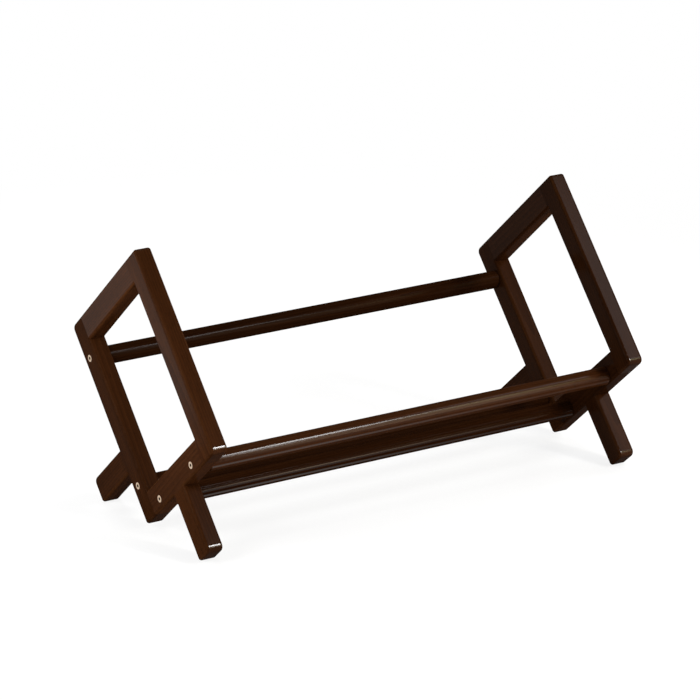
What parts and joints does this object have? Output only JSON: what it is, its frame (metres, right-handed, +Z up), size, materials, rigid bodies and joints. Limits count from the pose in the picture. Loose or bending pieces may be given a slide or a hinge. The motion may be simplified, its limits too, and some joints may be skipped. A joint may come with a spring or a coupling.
{
  "type": "book stand",
  "caption": "Leaning wooden book stand: two rectangular end frames on short legs, joined by round rods that hold the books at a slant.",
  "frame": {"origin": "on the floor under the middle of the stand: the centre of the bottom of its bounding box", "axes": "+X along the rods to the right, +Y to the rear, +Z up; the books' spines face -Y"},
  "size_m": [0.68, 0.3592, 0.376],
  "materials": {
    "frame_wood": "dark brown stain under semi-gloss lacquer",
    "rod_wood": "dark brown stain under semi-gloss lacquer",
    "dowel_wood": "plain beech",
    "screw_brass": "satin plated",
    "insert_brass": "machined"
  },
  "bodies": {
    "root": {"left_rear_upright": "frame_wood", "left_front_upright": "frame_wood", "left_top_rail": "frame_wood", "left_bottom_rail": "frame_wood", "left_front_leg": "frame_wood", "left_rear_leg": "frame_wood", "right_rear_upright": "frame_wood", "right_front_upright": "frame_wood", "right_top_rail": "frame_wood", "right_bottom_rail": "frame_wood", "right_front_leg": "frame_wood", "right_rear_leg": "frame_wood", "front_shelf_rod": "rod_wood", "rear_shelf_rod": "rod_wood", "lower_back_rod": "rod_wood", "upper_back_rod": "rod_wood", "left_rod_screws": "screw_brass", "left_rod_inserts": "insert_brass", "left_frame_dowels": "dowel_wood", "left_leg_dowels": "dowel_wood", "right_rod_screws": "screw_brass", "right_rod_inserts": "insert_brass", "right_frame_dowels": "dowel_wood", "right_leg_dowels": "dowel_wood"}
  },
  "joints": []
}
